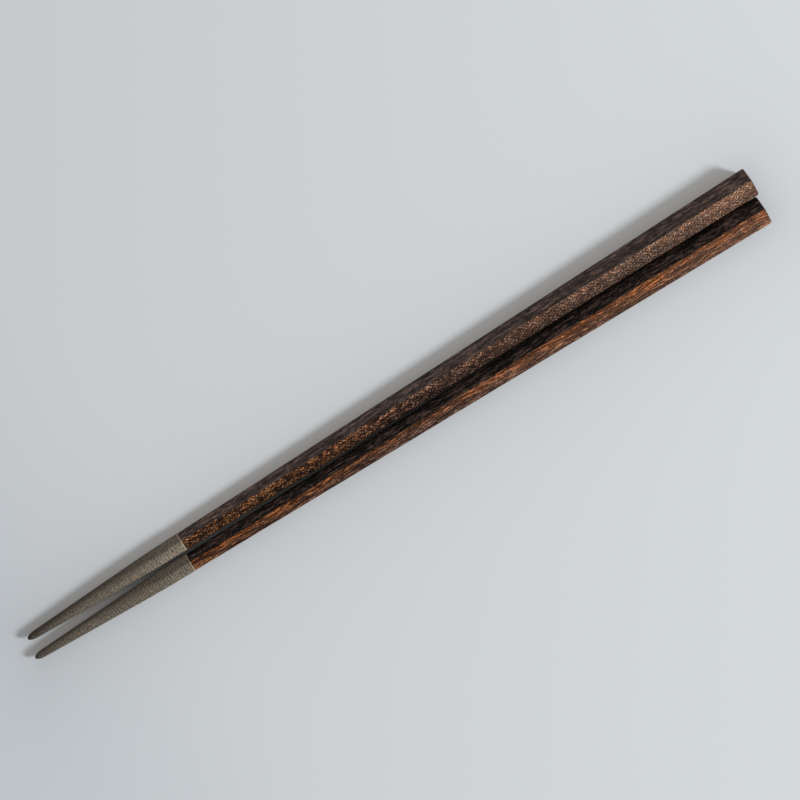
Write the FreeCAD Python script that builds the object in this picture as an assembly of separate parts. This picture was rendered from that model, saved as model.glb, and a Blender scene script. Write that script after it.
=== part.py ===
"""A pair of wooden chopsticks, lying side by side as they are laid on a table.

Each stick is one length of wood, planed to five flat facets that taper towards
the eating end. The tip is worked round, down to a blunt nose, and is dipped in
a thin coat of gritty grey lacquer. The shaft lies on one facet, so that an
arris runs along the top.

Row frame: +X from the tips to the butts, +Y to the right-hand stick as seen
from the butts, +Z up. The origin is the middle of the pair, on the surface
that it lies on. All sizes are in millimetres.
"""

import FreeCAD
import Part
import math
import os

# The wood
STICK_LENGTH = 230.0       # from the nose to the end of the butt
BUTT_WIDTH = 8.2           # across the side arrises, at the end of the butt
JOINT_WIDTH = 5.0          # the same, where the coat begins
EDGE_RADIUS = 0.55         # softening of the five long edges and of the end of the butt

# The tip and its coat
COAT_LENGTH = 49.2         # from the nose to the edge of the coat
COAT_THICKNESS = 0.25
COAT_STEP = 0.1            # how far the coat stands out from the bare wood
ROUND_WIDTH = 5.74         # the round that the tip is worked to, at the edge of the coat
ROUND_BELLY = 0.05         # how far that round swells past a straight cone, halfway along
NOSE_WIDTH = 2.2           # the round, where the blunt nose begins
NOSE_LENGTH = 3.1          # the blunt nose, a quarter of an ellipse

# How the pair lies
BUTT_CLEARANCE = 0.05      # between the sticks at the butts, which all but touch
JOINT_GAP = 1.0            # between the bare wood of the two sticks, where the coats begin
STAGGER = 1.0              # how far the right-hand stick lies back, towards its butt

FACETS = 5
HALF_FACET_ANGLE = math.pi / FACETS
TOP_ANGLE = math.pi / 2
SIDE_ARRIS_ANGLE = TOP_ANGLE - 2 * HALF_FACET_ANGLE
# Handles of a cubic curve that draw a quarter of an ellipse, as a share of its two radii
QUARTER_HANDLE = 4 / 3 * math.tan(math.pi / 8)

ORIGIN = FreeCAD.Vector(0, 0, 0)
ALONG = FreeCAD.Vector(1, 0, 0)
ACROSS = FreeCAD.Vector(0, 1, 0)
UP = FreeCAD.Vector(0, 0, 1)


# The five facets. A stick is made about its own centre line, nose at x = 0 and arris up,
# and the distance from the centre line to a facet grows evenly from joint to butt.


def facet_distance(width):
    """Centre line to facet, where the softened side arrises are that far apart."""
    to_arc_centres = (width / 2 - EDGE_RADIUS) / math.cos(SIDE_ARRIS_ANGLE)
    return to_arc_centres * math.cos(HALF_FACET_ANGLE) + EDGE_RADIUS


JOINT_DISTANCE = facet_distance(JOINT_WIDTH)
FACET_SLOPE = (facet_distance(BUTT_WIDTH) - JOINT_DISTANCE) / (STICK_LENGTH - COAT_LENGTH)
NOSE_DISTANCE = JOINT_DISTANCE - FACET_SLOPE * COAT_LENGTH


def pentagon(x, growth):
    """Corners of the crisp section at x, whose facets lie that far outside the bare wood's."""
    to_facet = NOSE_DISTANCE + FACET_SLOPE * x + growth
    to_corner = to_facet / math.cos(HALF_FACET_ANGLE)
    corners = []
    for k in range(FACETS + 1):
        angle = TOP_ANGLE + 2 * k * HALF_FACET_ANGLE
        corners.append(
            FreeCAD.Vector(x, to_corner * math.cos(angle), to_corner * math.sin(angle))
        )
    return corners


def faceted(start, end, growth):
    """Five flat facets between two places along the stick, with crisp edges."""
    near = pentagon(start, growth)
    far = pentagon(end, growth)
    outlines = [near[::-1], far]
    for k in range(FACETS):
        outlines.append([near[k], near[k + 1], far[k + 1], far[k], near[k]])
    return Part.Solid(Part.Shell([Part.Face(Part.makePolygon(outline)) for outline in outlines]))


def arrises(body):
    """The long edges of a faceted body."""
    return [edge for edge in body.Edges if edge.BoundBox.XLength > body.BoundBox.XLength / 2]


def shaft():
    """The bare wood, from the edge of the coat to the butt."""
    body = faceted(COAT_LENGTH, STICK_LENGTH, 0)
    butt_end = max(body.Faces, key=lambda face: face.CenterOfMass.x)
    return body.makeFillet(EDGE_RADIUS, arrises(body) + butt_end.Edges)


# The tip, where the facets run out into a round with a blunt nose


def spindle(inset):
    """The round that the tip is worked to, inset from the outside of the coat."""
    nose = ALONG * inset
    shoulder = ALONG * NOSE_LENGTH + UP * (NOSE_WIDTH / 2 - inset)
    edge = ALONG * COAT_LENGTH + UP * (ROUND_WIDTH / 2 - inset)
    belly = (shoulder + edge) / 2 + UP * ROUND_BELLY
    edge_centre = ALONG * COAT_LENGTH
    nose_curve = Part.BezierCurve()
    nose_curve.setPoles(
        [
            nose,
            nose + UP * shoulder.z * QUARTER_HANDLE,
            shoulder - ALONG * (NOSE_LENGTH - inset) * QUARTER_HANDLE,
            shoulder,
        ]
    )
    outline = Part.Wire(
        [
            nose_curve.toShape(),
            Part.Arc(shoulder, belly, edge).toShape(),
            Part.LineSegment(edge, edge_centre).toShape(),
            Part.LineSegment(edge_centre, nose).toShape(),
        ]
    )
    return Part.Face(outline).revolve(ORIGIN, ALONG, 360)


def tip(inset):
    """The coated tip, inset from its outside. It is level with the shaft's lowest facet."""
    growth = COAT_STEP - inset
    body = faceted(0, COAT_LENGTH, growth)
    softened = body.makeFillet(EDGE_RADIUS + growth, arrises(body))
    solid = softened.common(spindle(inset))
    solid.translate(UP * COAT_STEP)
    return solid


def wood():
    """One stick's wood, from under the coat's nose to the butt."""
    return shaft().fuse(tip(COAT_THICKNESS))


def tip_coat():
    """The lacquer over one tip: a thin closed skin on the wood."""
    return tip(0).cut(tip(COAT_THICKNESS))


# The pair as it lies, each stick on its lowest facet and turned a little to the other


def lay(piece, side):
    """Place one stick's piece: side is 1 for the right-hand stick and -1 for the left-hand."""
    pitch = math.atan(FACET_SLOPE)
    butt_spacing = BUTT_WIDTH + BUTT_CLEARANCE
    joint_spacing = JOINT_WIDTH + JOINT_GAP
    yaw_slope = (butt_spacing - joint_spacing) / 2 / (STICK_LENGTH - COAT_LENGTH)
    nose_offset = joint_spacing / 2 - yaw_slope * COAT_LENGTH

    placed = piece.copy()
    placed.rotate(ORIGIN, ACROSS, -math.degrees(pitch))
    placed.translate(UP * NOSE_DISTANCE * math.cos(pitch))
    placed.rotate(ORIGIN, UP, side * math.degrees(math.atan(yaw_slope)))
    placed.translate(ALONG * (side * STAGGER - STICK_LENGTH) / 2 + ACROSS * side * nose_offset)
    return placed


def main():
    os.makedirs("parts", exist_ok=True)
    pieces = {"chopstick": wood(), "tip_coat": tip_coat()}
    for name, side in (("left", -1), ("right", 1)):
        for piece_name, piece in pieces.items():
            lay(piece, side).exportStep(f"parts/{name}_{piece_name}.step")


main()
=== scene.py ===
import bmesh
import bpy
import math
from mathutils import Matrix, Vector, noise
from mathutils.bvhtree import BVHTree


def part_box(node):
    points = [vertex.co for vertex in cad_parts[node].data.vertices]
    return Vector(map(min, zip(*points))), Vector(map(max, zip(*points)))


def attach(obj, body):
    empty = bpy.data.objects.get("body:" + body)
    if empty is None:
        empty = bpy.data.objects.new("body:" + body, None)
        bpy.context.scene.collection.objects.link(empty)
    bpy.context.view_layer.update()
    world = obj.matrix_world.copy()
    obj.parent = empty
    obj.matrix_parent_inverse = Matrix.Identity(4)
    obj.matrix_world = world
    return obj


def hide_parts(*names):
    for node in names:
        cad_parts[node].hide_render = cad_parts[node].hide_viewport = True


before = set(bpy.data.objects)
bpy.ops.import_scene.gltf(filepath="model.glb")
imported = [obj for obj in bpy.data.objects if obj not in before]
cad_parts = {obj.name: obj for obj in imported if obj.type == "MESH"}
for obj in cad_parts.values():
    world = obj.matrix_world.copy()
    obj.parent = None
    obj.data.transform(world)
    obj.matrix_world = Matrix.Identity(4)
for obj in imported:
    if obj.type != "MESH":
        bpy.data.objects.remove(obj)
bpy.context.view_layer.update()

# The two sticks
# Each is one length of dark hardwood, planed to five facets and rubbed with clear lacquer. Its
# layers show as a net of short strokes on the facets along them, and as streaks on the others.

MM = 0.001
SIDES = ("left", "right")
FACET_TURN = math.radians(72)
EDGE_RADIUS = 0.55 * MM
ARRIS_SHARE = 1 / math.cos(FACET_TURN / 2)      # centre to crisp arris, over centre to facet
LAYER_TURN = FACET_TURN / 2        # the layers lie along the facet that faces left and up
LAYER_NORMAL = (0, -math.sin(LAYER_TURN), math.cos(LAYER_TURN))
ACROSS_LAYER = (0, math.cos(LAYER_TURN), math.sin(LAYER_TURN))

# Features of the wood, in millimetres along a stick, across it and up
SPECKLE = (0.6, 0.3, 0.3)
PORE = (0.55, 0.32, 0.32)
FINE_FIBRE = (1.8, 0.24, 0.24)
BROAD_STREAK = (6, 0.8, 0.8)
HUE_PATCH = (1.2, 0.6, 0.6)
BAND_WANDER = (6, 2, 2)
LAYER_BEND = (9, 0.9, 0.9)

# The two levels of its noise between which a feature fades in
LEAN_FADE = (0.44, 0.56)
SPECKLE_FADE = (0.35, 0.75)
CLOUD_FADE = (0.36, 0.64)
HUE_FADE = (0.35, 0.65)
PORE_FADE = (0.5, 0.34)
LAYER_FADE = (-0.3, 0.8)

# Places where the wood and its painted highlight and shade change: shares of a stick's length
# from its nose, and facets round it, counted from the arris on top towards the right
NET_EVENS = (0.5, 0.8)
OUTER_ENDS = (0.97, 0.86)
HIGHLIGHT_BY_TOP = (-0.5, -0.15)
BY_FAR_EDGE = (-0.4, -1.0)
# Where painted shade in the groove by the other stick fades in on the streaked facet
TO_FAR_SIDE = (0.5, 0.95)
FACES_LAYERS = (0.45, 0.8)         # how squarely a facet faces the layers, to show the net
FACES_END = (0.25, 0.85)           # how squarely a face looks out of the butt, to be its end

# How strong each feature is
STROKE_BEND = 2.2                  # how far the strokes wander, times their width
STROKE_WEIGHT = 0.85
SPECKLE_WEIGHT = 0.45
NET_LEAST = 0.04                   # of the net's strength, in the faintest places by the tip
# The bright band by the top arris is a painted highlight
BAND_SWAY = 0.35                   # how far the bright band's border wanders, in facets
SPECKLE_TONE = 0.7
FIBRE_TONES = (0.45, 1.0)
STREAK_SWAY = 0.25
LAYER_PHASE = 11.0                 # radians of the layers' wave, for each millimetre
LAYER_SWAY = 14.0                  # radians that the bends in the layers add
WOOD_ROUGHNESS = (0.55, 0.4)
WOOD_SHINE = 0.06
WOOD_BUMP = 0.4
WOOD_RELIEF = 0.03 * MM


class StickLine:
    """The centre line of one stick as it lies, from its nose to its butt, found from the frame."""

    def __init__(self, name):
        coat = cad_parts[f"{name}_tip_coat"].data
        self.nose = min((vert.co for vert in coat.vertices), key=lambda place: place.x).copy()
        low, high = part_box(f"{name}_chopstick")
        to_facet = (high.z + EDGE_RADIUS * (ARRIS_SHARE - 1)) / (1 + ARRIS_SHARE)
        butt = Vector((high.x, (low.y + high.y) / 2, to_facet))
        self.length = (butt - self.nose).length
        self.direction = (butt - self.nose).normalized()
        self.yaw = math.atan2(self.direction.y, self.direction.x)
        self.pitch = math.asin(self.direction.z)
        coat_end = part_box(f"{name}_tip_coat")[1].x
        self.coat_length = (coat_end - self.nose.x) / self.direction.x


LINES = {name: StickLine(name) for name in SIDES}


def shade(red, green, blue):
    return (red, green, blue, 1.0)


WHITE = shade(1, 1, 1)
WARMER = shade(1.10, 0.96, 0.80)
COOLER = shade(0.91, 1.05, 1.18)


class Finish:
    """One material, with a short call for each kind of node that these finishes use."""

    def __init__(self, name):
        self.material = bpy.data.materials.new(name)
        self.material.use_nodes = True
        self.tree = self.material.node_tree
        self.shader = self.tree.nodes["Principled BSDF"]

    def add(self, kind, inputs, **settings):
        """Adds a node, and joins or fills its inputs."""
        node = self.tree.nodes.new(kind)
        for key, value in settings.items():
            setattr(node, key, value)
        for socket, value in inputs.items():
            if isinstance(value, bpy.types.NodeSocket):
                self.tree.links.new(value, node.inputs[socket])
            else:
                node.inputs[socket].default_value = value
        return node

    def link(self, value, socket):
        self.tree.links.new(value, self.shader.inputs[socket])

    def fill(self, socket, value):
        self.shader.inputs[socket].default_value = value

    def bump(self, height, strength, distance):
        inputs = {"Height": height, "Strength": strength, "Distance": distance}
        self.link(self.add("ShaderNodeBump", inputs).outputs[0], "Normal")

    def calc(self, operation, *values):
        node = self.add("ShaderNodeMath", dict(enumerate(values)), operation=operation)
        return node.outputs[0]

    def weigh(self, value, weight, added):
        """The value times its weight, plus what is added."""
        return self.calc("MULTIPLY_ADD", value, weight, added)

    def vector_calc(self, operation, *values):
        node = self.add("ShaderNodeVectorMath", dict(enumerate(values)), operation=operation)
        return node.outputs["Value" if operation in ("DOT_PRODUCT", "LENGTH") else "Vector"]

    def dot(self, first, second):
        return self.vector_calc("DOT_PRODUCT", first, second)

    def tint(self, colour, factors):
        return self.vector_calc("MULTIPLY", colour, factors)

    def scale(self, colour, factor):
        inputs = {0: colour, "Scale": factor}
        return self.add("ShaderNodeVectorMath", inputs, operation="SCALE").outputs[0]

    def step(self, value, low, high, at_low=0.0, at_high=1.0):
        """From one level at low to another at high, smoothly."""
        inputs = {"Value": value, "From Min": low, "From Max": high}
        inputs |= {"To Min": at_low, "To Max": at_high}
        node = self.add("ShaderNodeMapRange", inputs, interpolation_type="SMOOTHSTEP")
        return node.outputs[0]

    def mix(self, factor, first, second):
        inputs = {0: factor, 6: first, 7: second}
        return self.add("ShaderNodeMix", inputs, data_type="RGBA").outputs[2]

    def ramp(self, value, stops):
        """A colour ramp of (position, colour) stops."""
        node = self.add("ShaderNodeValToRGB", {0: value})
        elements = node.color_ramp.elements
        while len(elements) < len(stops):
            elements.new(1.0)
        for element, (position, colour) in zip(elements, stops):
            element.position = position
            element.color = colour
        return node.outputs[0]

    def grain(self, place, size, seed, detail=2.0, rough=0.5):
        """Soft noise from 0 to 1, whose features are about that size in millimetres."""
        inputs = {"Vector": self.vector_calc("DIVIDE", place, size), "W": seed, "Scale": 1.0}
        inputs |= {"Detail": detail, "Roughness": rough}
        node = self.add("ShaderNodeTexNoise", inputs, noise_dimensions="4D")
        return node.outputs["Fac"]

    def strokes(self, place, size, patch, seed):
        """Slanted strokes from 0 to 1, that lean one way in some patches and back in others."""
        length, width = size
        along = self.calc("DIVIDE", self.dot(place, (1, 0, 0)), length)
        across = self.calc("DIVIDE", self.dot(place, ACROSS_LAYER), width)
        leaning = []
        for turn, way in enumerate((1, -1)):
            bend = self.grain(place, (length, width, width), seed + turn)
            count = self.weigh(across, way, self.weigh(bend, STROKE_BEND, along))
            wave = self.calc("SINE", self.calc("MULTIPLY", count, math.pi))
            leaning.append(self.calc("SUBTRACT", 1.0, self.calc("ABSOLUTE", wave)))
        choice = self.step(self.grain(place, patch, seed + 2, 1.0), *LEAN_FADE)
        difference = self.calc("SUBTRACT", leaning[1], leaning[0])
        return self.weigh(choice, difference, leaning[0])

    def on_stick(self, line):
        """Place on a stick in mm: x from its nose, y to its right and z up from its middle."""
        inputs = {
            "Vector": self.add("ShaderNodeTexCoord", {}).outputs["Object"],
            "Location": line.nose,
            "Rotation": (0, -line.pitch, line.yaw),
            "Scale": (MM, MM, MM),
        }
        return self.add("ShaderNodeMapping", inputs, vector_type="TEXTURE").outputs[0]

    def round_stick(self, y, z):
        """How far round the stick, in facets: 0 on the top arris, and more to the right."""
        return self.calc("DIVIDE", self.calc("ARCTAN2", y, z), FACET_TURN)


def wood(
    name, line, seed, stroke, fullness, contrast, patch, cloud, even, figure, painted_light, outer,
    pores, streaks, far_side_shade, end_grain,
):
    """The wood of one stick. Stroke, patch and cloud are sizes in millimetres, and figure holds
    the net's dark and pale colours from tip to butt. Even is the net's least strength near the
    butt. The tint by the top arris is a painted highlight, outer is the tint at the far edge of
    the netted facet, and the streaked facet can take painted shade towards its far side."""
    finish = Finish(name)
    place = finish.on_stick(line)
    x, y, z = finish.add("ShaderNodeSeparateXYZ", {0: place}).outputs
    normal = finish.add("ShaderNodeNewGeometry", {}).outputs["Normal"]
    length_share = finish.calc("DIVIDE", x, line.length / MM)
    girth = finish.round_stick(y, z)

    # The net's strength, from its strokes, the speckle between them and the clouds over both
    strokes = finish.step(finish.strokes(place, stroke, patch, seed), *fullness)
    speckle = finish.step(finish.grain(place, SPECKLE, seed + 3, 2.0, 0.7), *SPECKLE_FADE)
    between = finish.calc("MULTIPLY", speckle, SPECKLE_WEIGHT)
    pattern = finish.weigh(strokes, STROKE_WEIGHT, between)
    clouds = finish.grain(place, cloud, seed + 4, 3.0, 0.65)
    least = finish.step(length_share, *NET_EVENS, NET_LEAST, even)
    net = finish.calc("MULTIPLY", pattern, finish.step(clouds, *CLOUD_FADE, least, 1.0))
    net = finish.calc("POWER", net, contrast)
    dark, pale = (finish.ramp(length_share, stops) for stops in figure)
    netted = finish.mix(net, dark, pale)

    # Its tints: brighter by the arris on top, which is a painted highlight, duller at the far
    # edge, warm and cool in patches
    wander = finish.grain(place, BAND_WANDER, seed + 5, 3.0, 0.6)
    highlight_band = finish.calc("ADD", girth, finish.step(wander, 0.2, 0.8, -BAND_SWAY, BAND_SWAY))
    netted = finish.tint(netted, finish.mix(finish.step(highlight_band, *HIGHLIGHT_BY_TOP), WHITE, painted_light))
    hue = finish.step(finish.grain(place, HUE_PATCH, seed + 9), *HUE_FADE)
    netted = finish.tint(netted, finish.mix(hue, WARMER, COOLER))
    before_butt = finish.step(length_share, *OUTER_ENDS)
    by_edge = finish.calc("MULTIPLY", finish.step(girth, *BY_FAR_EDGE), before_butt)
    netted = finish.tint(netted, finish.mix(by_edge, WHITE, outer))

    # Its fine fibres and dark pores
    fibre = finish.grain(place, FINE_FIBRE, seed + 6, 3.0, 0.75)
    tone = finish.weigh(speckle, SPECKLE_TONE, finish.step(fibre, 0.32, 0.68, *FIBRE_TONES))
    pore = finish.step(finish.grain(place, PORE, seed + 10, 1.0), *PORE_FADE)
    tone = finish.calc("MULTIPLY", tone, finish.weigh(pore, -pores, 1.0))
    netted = finish.scale(netted, tone)

    # The streaks, with painted shade towards the far side of their facet, in the groove by
    # the other stick
    broad = finish.grain(place, BROAD_STREAK, seed + 7)
    broad = finish.step(broad, 0.3, 0.7, -STREAK_SWAY, STREAK_SWAY)
    streak = finish.calc("ADD", finish.step(fibre, 0.3, 0.74), broad)
    painted_far_shade = finish.step(girth, *TO_FAR_SIDE, 1.0, far_side_shade)
    streaked = finish.scale(finish.ramp(streak, streaks), painted_far_shade)

    # The end of the butt, where the layers show in section
    layer_bend = finish.grain(place, LAYER_BEND, seed + 8)
    phase = finish.calc("MULTIPLY", finish.dot(place, LAYER_NORMAL), LAYER_PHASE)
    layers = finish.calc("SINE", finish.weigh(layer_bend, LAYER_SWAY, phase))
    ends = finish.mix(finish.step(layers, *LAYER_FADE), *end_grain)

    # Each kind where the face looks the right way
    along_layers = finish.calc("ABSOLUTE", finish.dot(normal, LAYER_NORMAL))
    side = finish.mix(finish.step(along_layers, *FACES_LAYERS), streaked, netted)
    end_cut = finish.step(finish.dot(normal, line.direction), *FACES_END)
    finish.link(finish.mix(end_cut, side, ends), "Base Color")
    finish.link(finish.step(fibre, 0.2, 0.8, *WOOD_ROUGHNESS), "Roughness")
    finish.fill("Specular IOR Level", WOOD_SHINE)
    finish.bump(fibre, WOOD_BUMP, WOOD_RELIEF)
    return finish.material


WOODS = {
    "right": wood(
        "dark hardwood, netted",
        LINES["right"],
        seed=3.0,
        stroke=(1.35, 1.0),
        fullness=(0.38, 0.88),
        contrast=1.2,
        patch=(1.2, 0.9, 0.9),
        cloud=(2.2, 0.9, 0.9),
        even=0.4,
        figure=(
            (
                (0.27, shade(0.004, 0.002, 0.002)),
                (0.54, shade(0.006, 0.003, 0.003)),
                (0.70, shade(0.022, 0.011, 0.008)),
                (0.84, shade(0.029, 0.017, 0.013)),
                (0.95, shade(0.055, 0.031, 0.023)),
            ),
            (
                (0.27, shade(0.340, 0.148, 0.061)),
                (0.42, shade(0.356, 0.153, 0.064)),
                (0.54, shade(0.295, 0.165, 0.116)),
                (0.70, shade(0.268, 0.152, 0.104)),
                (0.84, shade(0.340, 0.208, 0.153)),
                (0.95, shade(0.445, 0.256, 0.170)),
            ),
        ),
        # the painted highlight by the top arris
        painted_light=shade(1.58, 1.50, 1.38),
        outer=shade(0.80, 0.80, 0.80),
        pores=0.15,
        streaks=(
            (0.0, shade(0.018, 0.014, 0.013)),
            (0.5, shade(0.069, 0.048, 0.041)),
            (1.0, shade(0.255, 0.162, 0.130)),
        ),
        far_side_shade=1.0,
        end_grain=(shade(0.030, 0.017, 0.020), shade(0.080, 0.038, 0.044)),
    ),
    "left": wood(
        "dark hardwood, banded",
        LINES["left"],
        seed=11.0,
        stroke=(6.5, 0.9),
        fullness=(0.22, 0.80),
        contrast=0.88,
        patch=(9.0, 1.4, 1.4),
        cloud=(8.0, 0.85, 0.85),
        even=0.04,
        figure=(
            (
                (0.27, shade(0.008, 0.003, 0.003)),
                (0.54, shade(0.020, 0.010, 0.007)),
                (0.70, shade(0.038, 0.018, 0.012)),
                (0.84, shade(0.042, 0.021, 0.014)),
                (0.94, shade(0.056, 0.030, 0.022)),
            ),
            (
                (0.27, shade(0.350, 0.143, 0.058)),
                (0.39, shade(0.256, 0.117, 0.063)),
                (0.54, shade(0.290, 0.147, 0.094)),
                (0.70, shade(0.347, 0.160, 0.089)),
                (0.84, shade(0.410, 0.175, 0.086)),
                (0.94, shade(0.378, 0.174, 0.096)),
            ),
        ),
        # the painted highlight by the top arris
        painted_light=shade(1.40, 1.10, 0.78),
        outer=shade(0.92, 0.99, 1.15),
        pores=0.6,
        streaks=(
            (0.0, shade(0.001, 0.001, 0.001)),
            (0.5, shade(0.012, 0.010, 0.009)),
            (1.0, shade(0.195, 0.118, 0.093)),
        ),
        # painted shade on the streaks in the groove against the other stick
        far_side_shade=0.28,
        end_grain=(shade(0.014, 0.008, 0.010), shade(0.064, 0.026, 0.030)),
    ),
}
for name, material in WOODS.items():
    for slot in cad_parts[f"{name}_chopstick"].material_slots:
        slot.material = material

# The coats on the tips
# Grey lacquer thick with fine grit is built up over the last stretch of each stick, while it
# turns, so that food doesn't slip. It dries in narrow uneven rings, and ends in a clean edge.

SPOKES = 72
COAT_RINGS = 560
WALL_RINGS = 60                    # the hidden wall against the wood is plainer
REACH = 8 * MM                     # rays to the surface start this far from the centre line
EDGE_MARGIN = 0.04 * MM
MERGE_REACH = 0.001 * MM
RING_PITCH = 0.76 * MM
RING_DEPTH = 0.09 * MM
NOSE_FADE = 2.0 * MM               # the rings run out this near the nose
CLEAR_RINGS = 26 * MM              # the rings are faint nearer to the nose than this
PAIR_SHIFT = 40                    # millimetres between the two coats' places in the noise
# The rings' colours: pale on their crests and deep in the grooves, partly painted light and shade
# on the ring relief
PALE_LACQUER = shade(0.176, 0.146, 0.111)
GREY_LACQUER = shade(0.092, 0.076, 0.058)
DEEP_LACQUER = shade(0.025, 0.020, 0.016)
EDGE_LACQUER = shade(0.30, 0.262, 0.205)
WARMER_LACQUER = shade(1.06, 0.99, 0.97)
COOLER_LACQUER = shade(0.94, 1.01, 1.02)
GRIT = (0.4, 0.4, 0.4)
GRIT_TONES = (0.56, 1.44)
LACQUER_PATCH = (1.1, 0.7, 0.7)
# Where the lacquer's painted light and shade change, round from the top
TO_LAMP_SIDE = (-0.45, -0.15)      # facets round from the top, where the lamp's side ends
TO_SHADED_SIDE = (0.0, 0.4)        # and where the shaded side begins
# The rings' painted light and shade fade on the side away from the lamp
SHADED_RINGS = 0.5                 # how far the rings' colours fade there
EDGE_BAND = (0.35, 0.15)           # the pale edge fades in this far from it, in millimetres
LACQUER_ROUGHNESS = 0.85
LACQUER_SHINE = 0.2
LACQUER_BUMP = 0.8
LACQUER_RELIEF = 0.05 * MM


def ring_depth(line, distance, turn):
    """How deep the surface lies between the rings, from 0 to 1, at a place on the coat."""
    swirl = Vector((math.cos(turn), math.sin(turn), 0))
    shift = math.copysign(PAIR_SHIFT, line.nose.y)
    along = Vector((0, 0, (line.nose.x + distance) / MM + shift))
    wobble = noise.noise(swirl * 0.7 + along * 0.3)
    fine_wobble = noise.noise(swirl * 1.6 + along * 1.1)
    rings = distance / RING_PITCH + 0.8 * wobble + 0.3 * fine_wobble
    ring = 0.5 + 0.5 * math.cos(math.tau * rings)
    patches = 0.5 + noise.noise(swirl * 1.5 + along * 0.7)
    clearness = 0.5 + 0.5 * min(1.0, distance / CLEAR_RINGS)
    grit = noise.noise(swirl * 5 + along * 2.2) * (1.4 - clearness)
    depth = 0.18 + (ring - 0.3) * clearness * (0.12 + 0.5 * patches) + grit
    return min(1.0, max(0.0, depth))


def sleeve(line, target, rings, ringed):
    """A skin of even rings on a target's surface, closed at the nose and open at the edge."""
    mesh = bmesh.new()
    relief = mesh.verts.layers.float.new("ring_depth")
    bmesh.ops.create_cone(mesh, cap_ends=False, segments=SPOKES, radius1=1, radius2=1, depth=1)
    spokes = [edge for edge in mesh.edges if edge.calc_length() > 0.9]
    bmesh.ops.subdivide_edges(mesh, edges=spokes, cuts=rings - 1)
    surface = BVHTree.FromPolygons(
        [vert.co for vert in target.data.vertices],
        [tuple(face.vertices) for face in target.data.polygons],
    )
    nose = min((vert.co for vert in target.data.vertices), key=lambda place: place.x)
    start = (nose - line.nose).length
    across = Vector((0, 0, 1)).cross(line.direction).normalized()
    up = line.direction.cross(across)
    for vert in mesh.verts:
        share = vert.co.z + 0.5
        turn = math.atan2(vert.co.y, vert.co.x)
        outward = across * math.cos(turn) + up * math.sin(turn)
        distance = start + (line.coat_length - start - EDGE_MARGIN) * share
        if share * rings < 0.5:
            vert.co = nose
            continue
        centre = line.nose + line.direction * distance
        place = surface.ray_cast(centre + outward * REACH, -outward)[0]
        if ringed:
            vert[relief] = ring_depth(line, distance, turn)
            place -= outward * vert[relief] * RING_DEPTH * min(1.0, distance / NOSE_FADE)
        vert.co = place
    bmesh.ops.remove_doubles(mesh, verts=mesh.verts, dist=MERGE_REACH)
    return mesh


def ringed_coat(name):
    """The coat of one tip: its ringed outside, its wall against the wood, and the flat edge."""
    line = LINES[name]
    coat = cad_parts[f"{name}_tip_coat"]
    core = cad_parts[f"{name}_chopstick"]
    data = bpy.data.meshes.new(f"{name}_ringed_coat")
    wall = sleeve(line, core, WALL_RINGS, False)
    wall.to_mesh(data)
    wall.free()
    mesh = sleeve(line, coat, COAT_RINGS, True)
    mesh.from_mesh(data)
    rims = [edge for edge in mesh.edges if edge.is_boundary]
    bmesh.ops.bridge_loops(mesh, edges=rims)
    bmesh.ops.recalc_face_normals(mesh, faces=mesh.faces)
    for face in mesh.faces:
        face.smooth = True
    for edge in rims:
        edge.smooth = False
    mesh.to_mesh(data)
    mesh.free()
    piece = bpy.data.objects.new(f"{name}_ringed_coat", data)
    bpy.context.scene.collection.objects.link(piece)
    return piece


def lacquer(name, line, worn, faces):
    """Matt grey lacquer, pale on the rings and deep between them, partly as painted light and
    shade on their relief. Worn is its tone from nose to edge, and faces is painted light and
    shade: its tone on the side to the lamp, on top and on the side away from it."""
    finish = Finish(name)
    place = finish.on_stick(line)
    x, y, z = finish.add("ShaderNodeSeparateXYZ", {0: place}).outputs
    girth = finish.round_stick(y, z)
    length = line.coat_length / MM
    depth = finish.add("ShaderNodeAttribute", {}, attribute_name="ring_depth").outputs["Fac"]
    colours = ((0.05, PALE_LACQUER), (0.45, GREY_LACQUER), (0.95, DEEP_LACQUER))
    # The ring colours fade on the shaded side, as their painted light and shade would
    fading = finish.step(girth, *TO_SHADED_SIDE, 0.0, SHADED_RINGS)
    ringed = finish.mix(fading, finish.ramp(depth, colours), GREY_LACQUER)
    # Painted light and shade: the lacquer's tone on the side to the lamp, on top and away from it
    lit, top, shaded = faces
    lamp_side = finish.step(girth, *TO_LAMP_SIDE, lit, top)
    shaded_side = finish.step(girth, *TO_SHADED_SIDE, 0.0, shaded - top)
    grit = finish.grain(place, GRIT, 1.0, 3.0, 0.7)
    tone = finish.calc("ADD", lamp_side, shaded_side)
    tone = finish.calc("MULTIPLY", finish.step(grit, 0.3, 0.7, *GRIT_TONES), tone)
    tones = [(share, shade(level, level, level)) for share, level in worn]
    wear = finish.ramp(finish.calc("DIVIDE", x, length), tones)
    colour = finish.scale(finish.tint(ringed, wear), tone)
    hue = finish.step(finish.grain(place, LACQUER_PATCH, 2.0), *HUE_FADE)
    colour = finish.tint(colour, finish.mix(hue, WARMER_LACQUER, COOLER_LACQUER))
    edge = finish.step(x, *(length - inset for inset in EDGE_BAND))
    finish.link(finish.mix(edge, colour, EDGE_LACQUER), "Base Color")
    finish.fill("Roughness", LACQUER_ROUGHNESS)
    finish.fill("Specular IOR Level", LACQUER_SHINE)
    finish.bump(grit, LACQUER_BUMP, LACQUER_RELIEF)
    return finish.material


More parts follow.
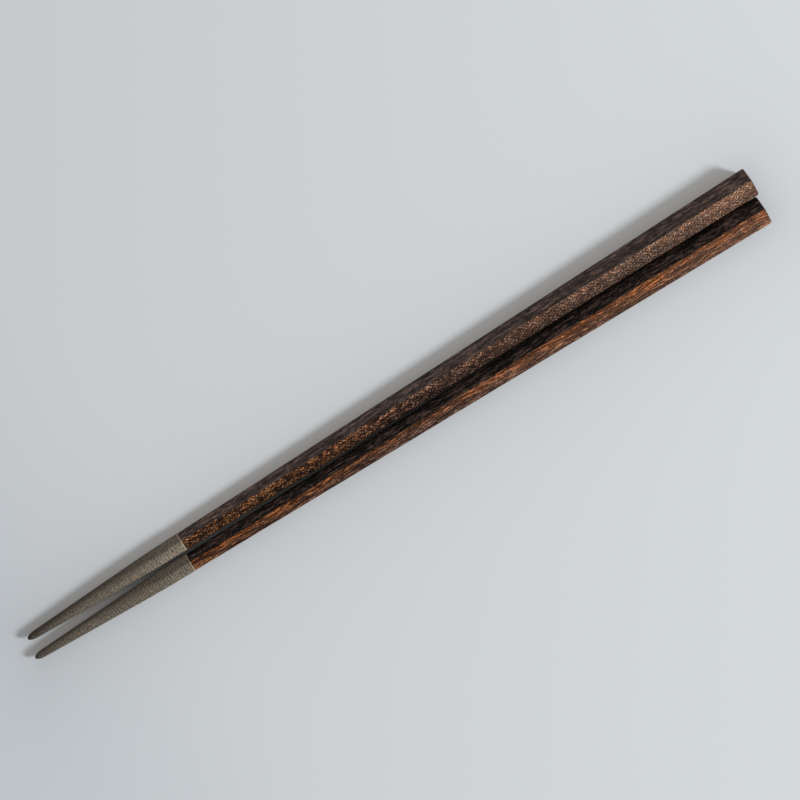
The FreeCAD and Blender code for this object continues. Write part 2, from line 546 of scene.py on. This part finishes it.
LACQUERS = {
    "right": lacquer(
        "gritty grey lacquer, paler at its edge",
        LINES["right"],
        worn=((0.0, 0.38), (0.13, 0.52), (0.37, 0.80), (0.69, 0.97), (0.9, 1.30), (1.0, 1.40)),
        # faces: painted light and shade on the lamp's side, on top and on the shaded side
        faces=(1.0, 0.80, 0.93),
    ),
    "left": lacquer(
        "gritty grey lacquer, duller",
        LINES["left"],
        worn=((0.0, 0.46), (0.13, 0.60), (0.37, 0.76), (0.69, 0.78), (0.9, 0.92), (1.0, 1.0)),
        # faces: painted light and shade on the lamp's side, on top and on the shaded side
        faces=(0.97, 0.94, 1.24),
    ),
}
for name in SIDES:
    piece = ringed_coat(name)
    piece.data.materials.append(LACQUERS[name])
    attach(piece, "root")
    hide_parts(f"{name}_tip_coat")

# The floor
# A plain pale painted surface. Painted light makes it a little brighter towards the right of the
# picture, and painted shade a little darker round the pair and in the gap between the sticks. To
# the camera it gives back a faint warm glow of painted light, also in the shadows.

FLOOR_SIZE = 1.5
FLOOR_ROUGHNESS = 0.9
VIEW_TURN = math.radians(31.98)    # from the picture's right to the sticks' own direction
VIEW_WIDTH = 215.0 * MM
PICTURE_RIGHT = (math.cos(VIEW_TURN), -math.sin(VIEW_TURN), 0)
# The paint with painted light, dimmer at the left of the picture and brighter at the right
LEFT_PAINT_AND_LIGHT = shade(0.400, 0.445, 0.487)
RIGHT_PAINT_AND_LIGHT = shade(0.500, 0.552, 0.598)
# Painted shade in the narrow gap between the sticks, darker and warmer where little sky is seen
GAP_PAINTED_SHADE = (                      # times the paint, by how much of the sky the floor sees
    (0.0, shade(0.26, 0.19, 0.14)),
    (0.1, shade(0.80, 0.70, 0.60)),
    (0.25, WHITE),
)
# Painted shade round the pair, deepest beside it and fading outwards
PAIR_HALF_SIZE = (115.5 * MM, 6.6 * MM, 0)
DIMNESS = 0.125                    # how much darker the floor is right beside the pair
DIM_REACH = 12.5 * MM              # how far from the pair that has faded to a third
# Painted light: a warm glow that lifts the floor's shadows as fill light would
PAINTED_FILL_GLOW = shade(0.163, 0.143, 0.122)
GLOW_REACH = 10 * MM               # the glow fails where things stand this close all round
GLOW_SKY = (0.18, 0.5)             # how much sky the floor sees where it starts and is full
NOSE_GLOW = 0.75                   # how much of it is left past the noses
NOSE_FALL = (-130 * MM, -60 * MM)  # where it has fallen to that, and where it starts to fall
SKY_SAMPLES = 16

floor_mesh = bmesh.new()
bmesh.ops.create_grid(floor_mesh, x_segments=1, y_segments=1, size=FLOOR_SIZE)
floor_data = bpy.data.meshes.new("floor")
floor_mesh.to_mesh(floor_data)
floor_mesh.free()
floor = bpy.data.objects.new("floor", floor_data)
bpy.context.scene.collection.objects.link(floor)

paint = Finish("pale floor paint")
floor_place = paint.add("ShaderNodeTexCoord", {}).outputs["Object"]
# Painted light: brighter towards the right of the picture
to_right = paint.calc("DIVIDE", paint.dot(floor_place, PICTURE_RIGHT), VIEW_WIDTH)
painted = paint.ramp(paint.calc("ADD", to_right, 0.5), ((0.0, LEFT_PAINT_AND_LIGHT), (1.0, RIGHT_PAINT_AND_LIGHT)))

# Painted shade: the floor darkens towards the pair
from_middle = paint.vector_calc("ABSOLUTE", floor_place)
past_sides = paint.vector_calc("SUBTRACT", from_middle, PAIR_HALF_SIZE)
away = paint.vector_calc("LENGTH", paint.vector_calc("MAXIMUM", past_sides, (0, 0, 0)))
nearness = paint.calc("EXPONENT", paint.calc("DIVIDE", away, -DIM_REACH))
brightness = paint.weigh(nearness, -DIMNESS, 1.0)

# Painted shade where the floor sees little sky, in the gap between the sticks
occlusion = paint.add("ShaderNodeAmbientOcclusion", {"Distance": GLOW_REACH}, samples=SKY_SAMPLES)
open_sky = occlusion.outputs["AO"]
painted = paint.tint(painted, paint.ramp(open_sky, GAP_PAINTED_SHADE))
paint.link(paint.scale(painted, brightness), "Base Color")
paint.fill("Roughness", FLOOR_ROUGHNESS)
paint.fill("Specular IOR Level", 0.0)
paint.fill("Emission Color", PAINTED_FILL_GLOW)

# The painted light shows to the camera and in reflections, fading in narrow gaps and past the
# noses
ray = paint.add("ShaderNodeLightPath", {}).outputs
seen = paint.calc("MAXIMUM", ray["Is Camera Ray"], ray["Is Glossy Ray"])
seen = paint.calc("MAXIMUM", seen, ray["Is Transmission Ray"])
by_noses = paint.step(paint.dot(floor_place, (1, 0, 0)), *NOSE_FALL, NOSE_GLOW, 1.0)
painted_light = paint.calc("MULTIPLY", paint.step(open_sky, *GLOW_SKY), by_noses)
painted_light = paint.calc("MULTIPLY", painted_light, brightness)
paint.link(paint.calc("MULTIPLY", seen, painted_light), "Emission Strength")
floor_data.materials.append(paint.material)

# The light
# One broad soft lamp, low to the right of the picture, in an even pale surrounding.

LAMP_STRENGTH = 3.36
LAMP_SPREAD = math.radians(14)
TO_LAMP = Vector((0.641, -0.543, 0.543))
SURROUND_STRENGTH = 0.42
BACKDROP = shade(0.62, 0.65, 0.67)

lamp_data = bpy.data.lights.new("soft lamp", "SUN")
lamp_data.energy = LAMP_STRENGTH
lamp_data.angle = LAMP_SPREAD
lamp = bpy.data.objects.new("soft lamp", lamp_data)
lamp.rotation_euler = TO_LAMP.to_track_quat("Z", "Y").to_euler()
bpy.context.scene.collection.objects.link(lamp)

world = bpy.data.worlds.new("surround")
world.use_nodes = True
bpy.context.scene.world = world
sky = world.node_tree
surround = sky.nodes["Background"]
surround.inputs["Color"].default_value = WHITE
surround.inputs["Strength"].default_value = SURROUND_STRENGTH
backdrop = sky.nodes.new("ShaderNodeBackground")
backdrop.inputs["Color"].default_value = BACKDROP
rays = sky.nodes.new("ShaderNodeLightPath")
seen_or_mirrored = sky.nodes.new("ShaderNodeMath")
seen_or_mirrored.operation = "MAXIMUM"
seen_or_through = sky.nodes.new("ShaderNodeMath")
seen_or_through.operation = "MAXIMUM"
chosen = sky.nodes.new("ShaderNodeMixShader")
sky.links.new(rays.outputs["Is Camera Ray"], seen_or_mirrored.inputs[0])
sky.links.new(rays.outputs["Is Glossy Ray"], seen_or_mirrored.inputs[1])
sky.links.new(seen_or_mirrored.outputs[0], seen_or_through.inputs[0])
sky.links.new(rays.outputs["Is Transmission Ray"], seen_or_through.inputs[1])
sky.links.new(seen_or_through.outputs[0], chosen.inputs[0])
sky.links.new(surround.outputs[0], chosen.inputs[1])
sky.links.new(backdrop.outputs[0], chosen.inputs[2])
sky.links.new(chosen.outputs[0], sky.nodes["World Output"].inputs["Surface"])

# The camera
# It looks straight down, with the sticks running from the lower left to the upper right.

LENS = 180.0
SENSOR = 36.0
VIEW_HEIGHT = 3.0 * MM             # where the picture is that wide
VIEW_CENTRE = Vector((4.49, 4.22, 0)) * MM

camera_data = bpy.data.cameras.new("camera")
camera_data.lens = LENS
camera_data.sensor_width = SENSOR
camera = bpy.data.objects.new("camera", camera_data)
camera.location = VIEW_CENTRE + Vector((0, 0, VIEW_HEIGHT + VIEW_WIDTH * LENS / SENSOR))
camera.rotation_euler = (0, 0, -VIEW_TURN)
bpy.context.scene.collection.objects.link(camera)
bpy.context.scene.camera = camera
bpy.context.scene.view_settings.view_transform = "Standard"
